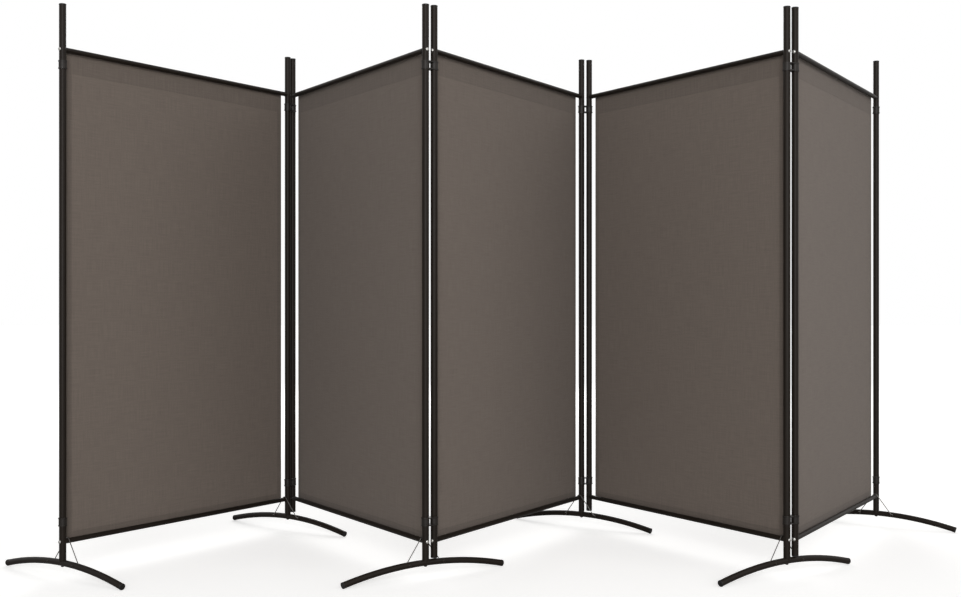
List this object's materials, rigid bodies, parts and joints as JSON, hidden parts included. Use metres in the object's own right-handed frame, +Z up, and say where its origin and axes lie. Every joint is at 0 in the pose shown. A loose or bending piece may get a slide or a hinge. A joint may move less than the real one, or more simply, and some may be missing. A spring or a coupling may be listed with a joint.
{
  "type": "fabric room divider",
  "caption": "Free-standing folding screen: flat fabric panels in round tube frames, joined pole to pole by double hinge links, on arched tube feet with wire braces.",
  "frame": {"origin": "on the floor, under the middle of the overall box", "axes": "+X along the row of panels, +Y to the rear, +Z up"},
  "size_m": [3.3473, 1.2284, 1.8],
  "materials": {
    "frame_paint": "satin dark brown powder coat",
    "link_plastic": "matt dark brown moulded plastic",
    "cap_plastic": "matt near-black moulded plastic",
    "bright_steel": "zinc plated",
    "fabric": "matt taupe woven polyester"
  },
  "bodies": {
    "panel_1": {"panel_1_main_tubes": "frame_paint", "panel_1_end_tubes": "frame_paint", "panel_1_connector_pins": "bright_steel", "panel_1_crossbars": "frame_paint", "panel_1_sheet": "fabric", "panel_1_sheet_studs": "bright_steel", "panel_1_foot": "frame_paint", "panel_1_caps": "cap_plastic", "panel_1_braces": "bright_steel", "panel_1_bolts": "bright_steel", "end_rings_left": "link_plastic"},
    "panel_2": {"panel_2_main_tubes": "frame_paint", "panel_2_end_tubes": "frame_paint", "panel_2_connector_pins": "bright_steel", "panel_2_crossbars": "frame_paint", "panel_2_sheet": "fabric", "panel_2_sheet_studs": "bright_steel", "panel_2_foot": "frame_paint", "panel_2_caps": "cap_plastic", "panel_2_braces": "bright_steel", "panel_2_bolts": "bright_steel"},
    "panel_3": {"panel_3_main_tubes": "frame_paint", "panel_3_end_tubes": "frame_paint", "panel_3_connector_pins": "bright_steel", "panel_3_crossbars": "frame_paint", "panel_3_sheet": "fabric", "panel_3_sheet_studs": "bright_steel", "panel_3_foot": "frame_paint", "panel_3_caps": "cap_plastic", "panel_3_braces": "bright_steel", "panel_3_bolts": "bright_steel"},
    "panel_4": {"panel_4_main_tubes": "frame_paint", "panel_4_end_tubes": "frame_paint", "panel_4_connector_pins": "bright_steel", "panel_4_crossbars": "frame_paint", "panel_4_sheet": "fabric", "panel_4_sheet_studs": "bright_steel", "panel_4_foot": "frame_paint", "panel_4_caps": "cap_plastic", "panel_4_braces": "bright_steel", "panel_4_bolts": "bright_steel"},
    "panel_5": {"panel_5_main_tubes": "frame_paint", "panel_5_end_tubes": "frame_paint", "panel_5_connector_pins": "bright_steel", "panel_5_crossbars": "frame_paint", "panel_5_sheet": "fabric", "panel_5_sheet_studs": "bright_steel", "panel_5_foot": "frame_paint", "panel_5_caps": "cap_plastic", "panel_5_braces": "bright_steel", "panel_5_bolts": "bright_steel", "end_rings_right": "link_plastic"},
    "link_1": {"hinge_link_1": "link_plastic"},
    "link_2": {"hinge_link_2": "link_plastic"},
    "link_3": {"hinge_link_3": "link_plastic"},
    "link_4": {"hinge_link_4": "link_plastic"}
  },
  "joints": [
    {"name": "panel_3_to_link_3", "type": "hinge", "parent": "panel_3", "child": "link_3", "pos_m": [0.27703, 0.42516, 0.9], "axis": [0, 0, 1], "range_deg": [-14, 125]},
    {"name": "link_3_to_panel_4", "type": "hinge", "parent": "link_3", "child": "panel_4", "pos_m": [0.30732, 0.43379, 0.9], "axis": [0, 0, 1], "range_deg": [-14, 125]},
    {"name": "panel_4_to_link_4", "type": "hinge", "parent": "panel_4", "child": "link_4", "pos_m": [0.85196, -0.40488, 0.9], "axis": [0, 0, -1], "range_deg": [-14, 125]},
    {"name": "link_4_to_panel_5", "type": "hinge", "parent": "link_4", "child": "panel_5", "pos_m": [0.88108, -0.39287, 0.9], "axis": [0, 0, -1], "range_deg": [-14, 125]},
    {"name": "panel_3_to_link_2", "type": "hinge", "parent": "panel_3", "child": "link_2", "pos_m": [-0.26468, -0.4154, 0.9], "axis": [0, 0, 1], "range_deg": [-25, 125]},
    {"name": "link_2_to_panel_2", "type": "hinge", "parent": "link_2", "child": "panel_2", "pos_m": [-0.29092, -0.43283, 0.9], "axis": [0, 0, 1], "range_deg": [-3, 125]},
    {"name": "panel_2_to_link_1", "type": "hinge", "parent": "panel_2", "child": "link_1", "pos_m": [-0.83556, 0.40584, 0.9], "axis": [0, 0, -1], "range_deg": [-14, 160]},
    {"name": "link_1_to_panel_1", "type": "hinge", "parent": "link_1", "child": "panel_1", "pos_m": [-0.85059, 0.37815, 0.9], "axis": [0, 0, -1], "range_deg": [-14, 85]}
  ]
}
